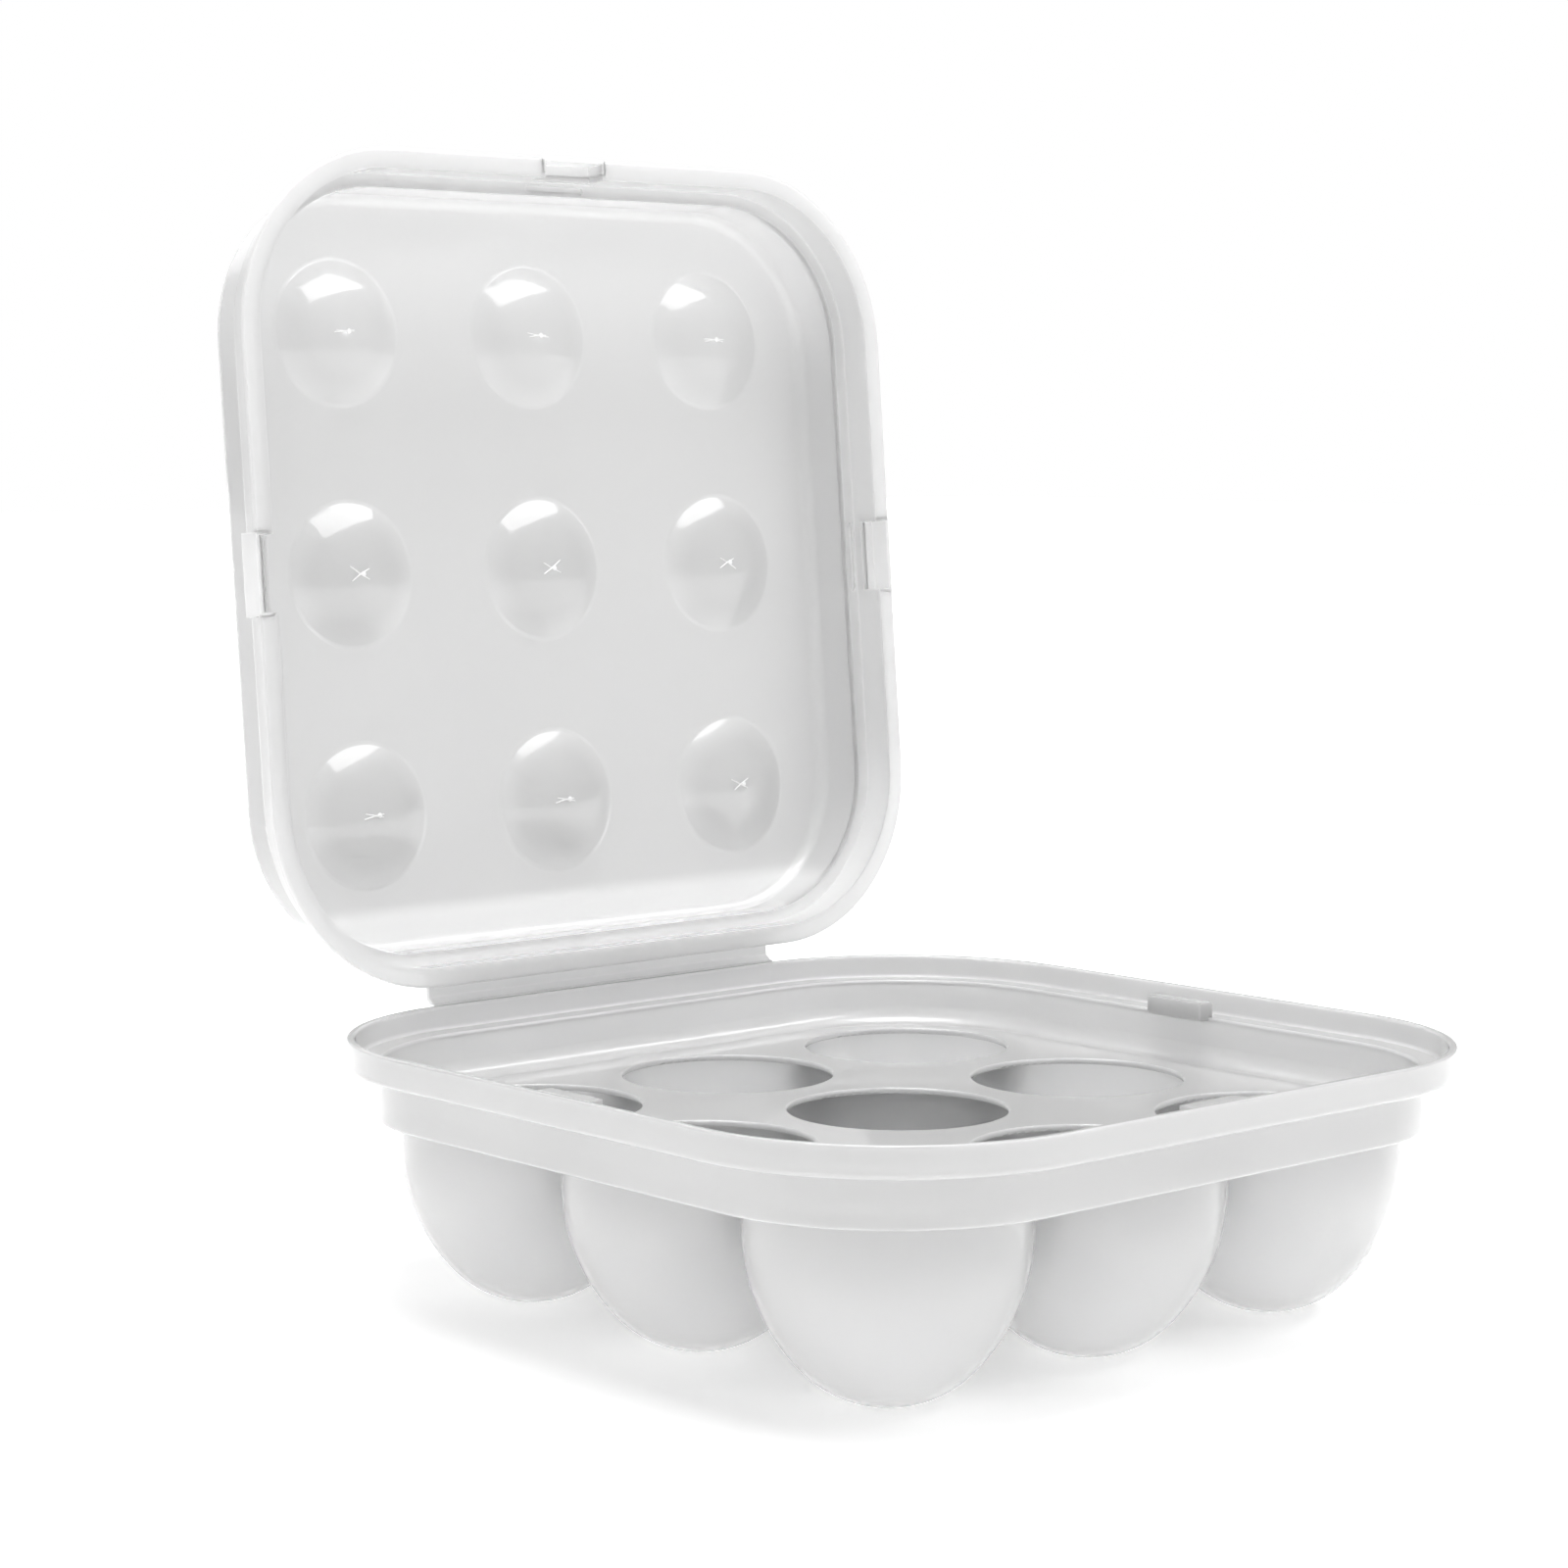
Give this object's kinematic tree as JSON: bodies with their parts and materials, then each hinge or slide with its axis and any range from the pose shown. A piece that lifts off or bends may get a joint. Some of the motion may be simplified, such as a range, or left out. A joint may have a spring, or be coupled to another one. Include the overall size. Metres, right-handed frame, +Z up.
{
  "type": "egg keeper with flip lid",
  "caption": "Square egg box of frosted translucent plastic: round egg cups hang under a deck inside a rounded rim, and a domed lid flips on a living hinge with snap tabs.",
  "frame": {"origin": "middle of the flat foot under the middle egg cup, on the surface that the box stands on", "axes": "+Z up, -Y to the front, where the lid opens, +Y to the hinge, +X to the right"},
  "size_m": [0.172, 0.2012, 0.2188],
  "materials": {
    "base_polypropylene": "milky, translucent polypropylene with a soft satin surface",
    "lid_polypropylene": "milky, translucent polypropylene with a soft satin surface",
    "hinge_polypropylene": "the same polypropylene, thin enough to bend"
  },
  "bodies": {
    "base": {"base_rim": "base_polypropylene", "egg_deck": "base_polypropylene", "egg_cup_front_left": "base_polypropylene", "egg_cup_front_centre": "base_polypropylene", "egg_cup_front_right": "base_polypropylene", "egg_cup_middle_left": "base_polypropylene", "egg_cup_middle_centre": "base_polypropylene", "egg_cup_middle_right": "base_polypropylene", "egg_cup_back_left": "base_polypropylene", "egg_cup_back_centre": "base_polypropylene", "egg_cup_back_right": "base_polypropylene", "catch_front": "base_polypropylene", "catch_left": "base_polypropylene", "catch_right": "base_polypropylene", "hinge_web": "hinge_polypropylene"},
    "lid": {"lid_rim": "lid_polypropylene", "lid_cover": "lid_polypropylene", "tab_front": "lid_polypropylene", "tab_left": "lid_polypropylene", "tab_right": "lid_polypropylene", "lid_hinge_leaf": "hinge_polypropylene"}
  },
  "joints": [
    {"name": "lid_hinge", "type": "hinge", "parent": "base", "child": "lid", "pos_m": [0, 0.086, 0.051], "axis": [-1, 0, 0], "range_deg": [-95, 85]}
  ]
}
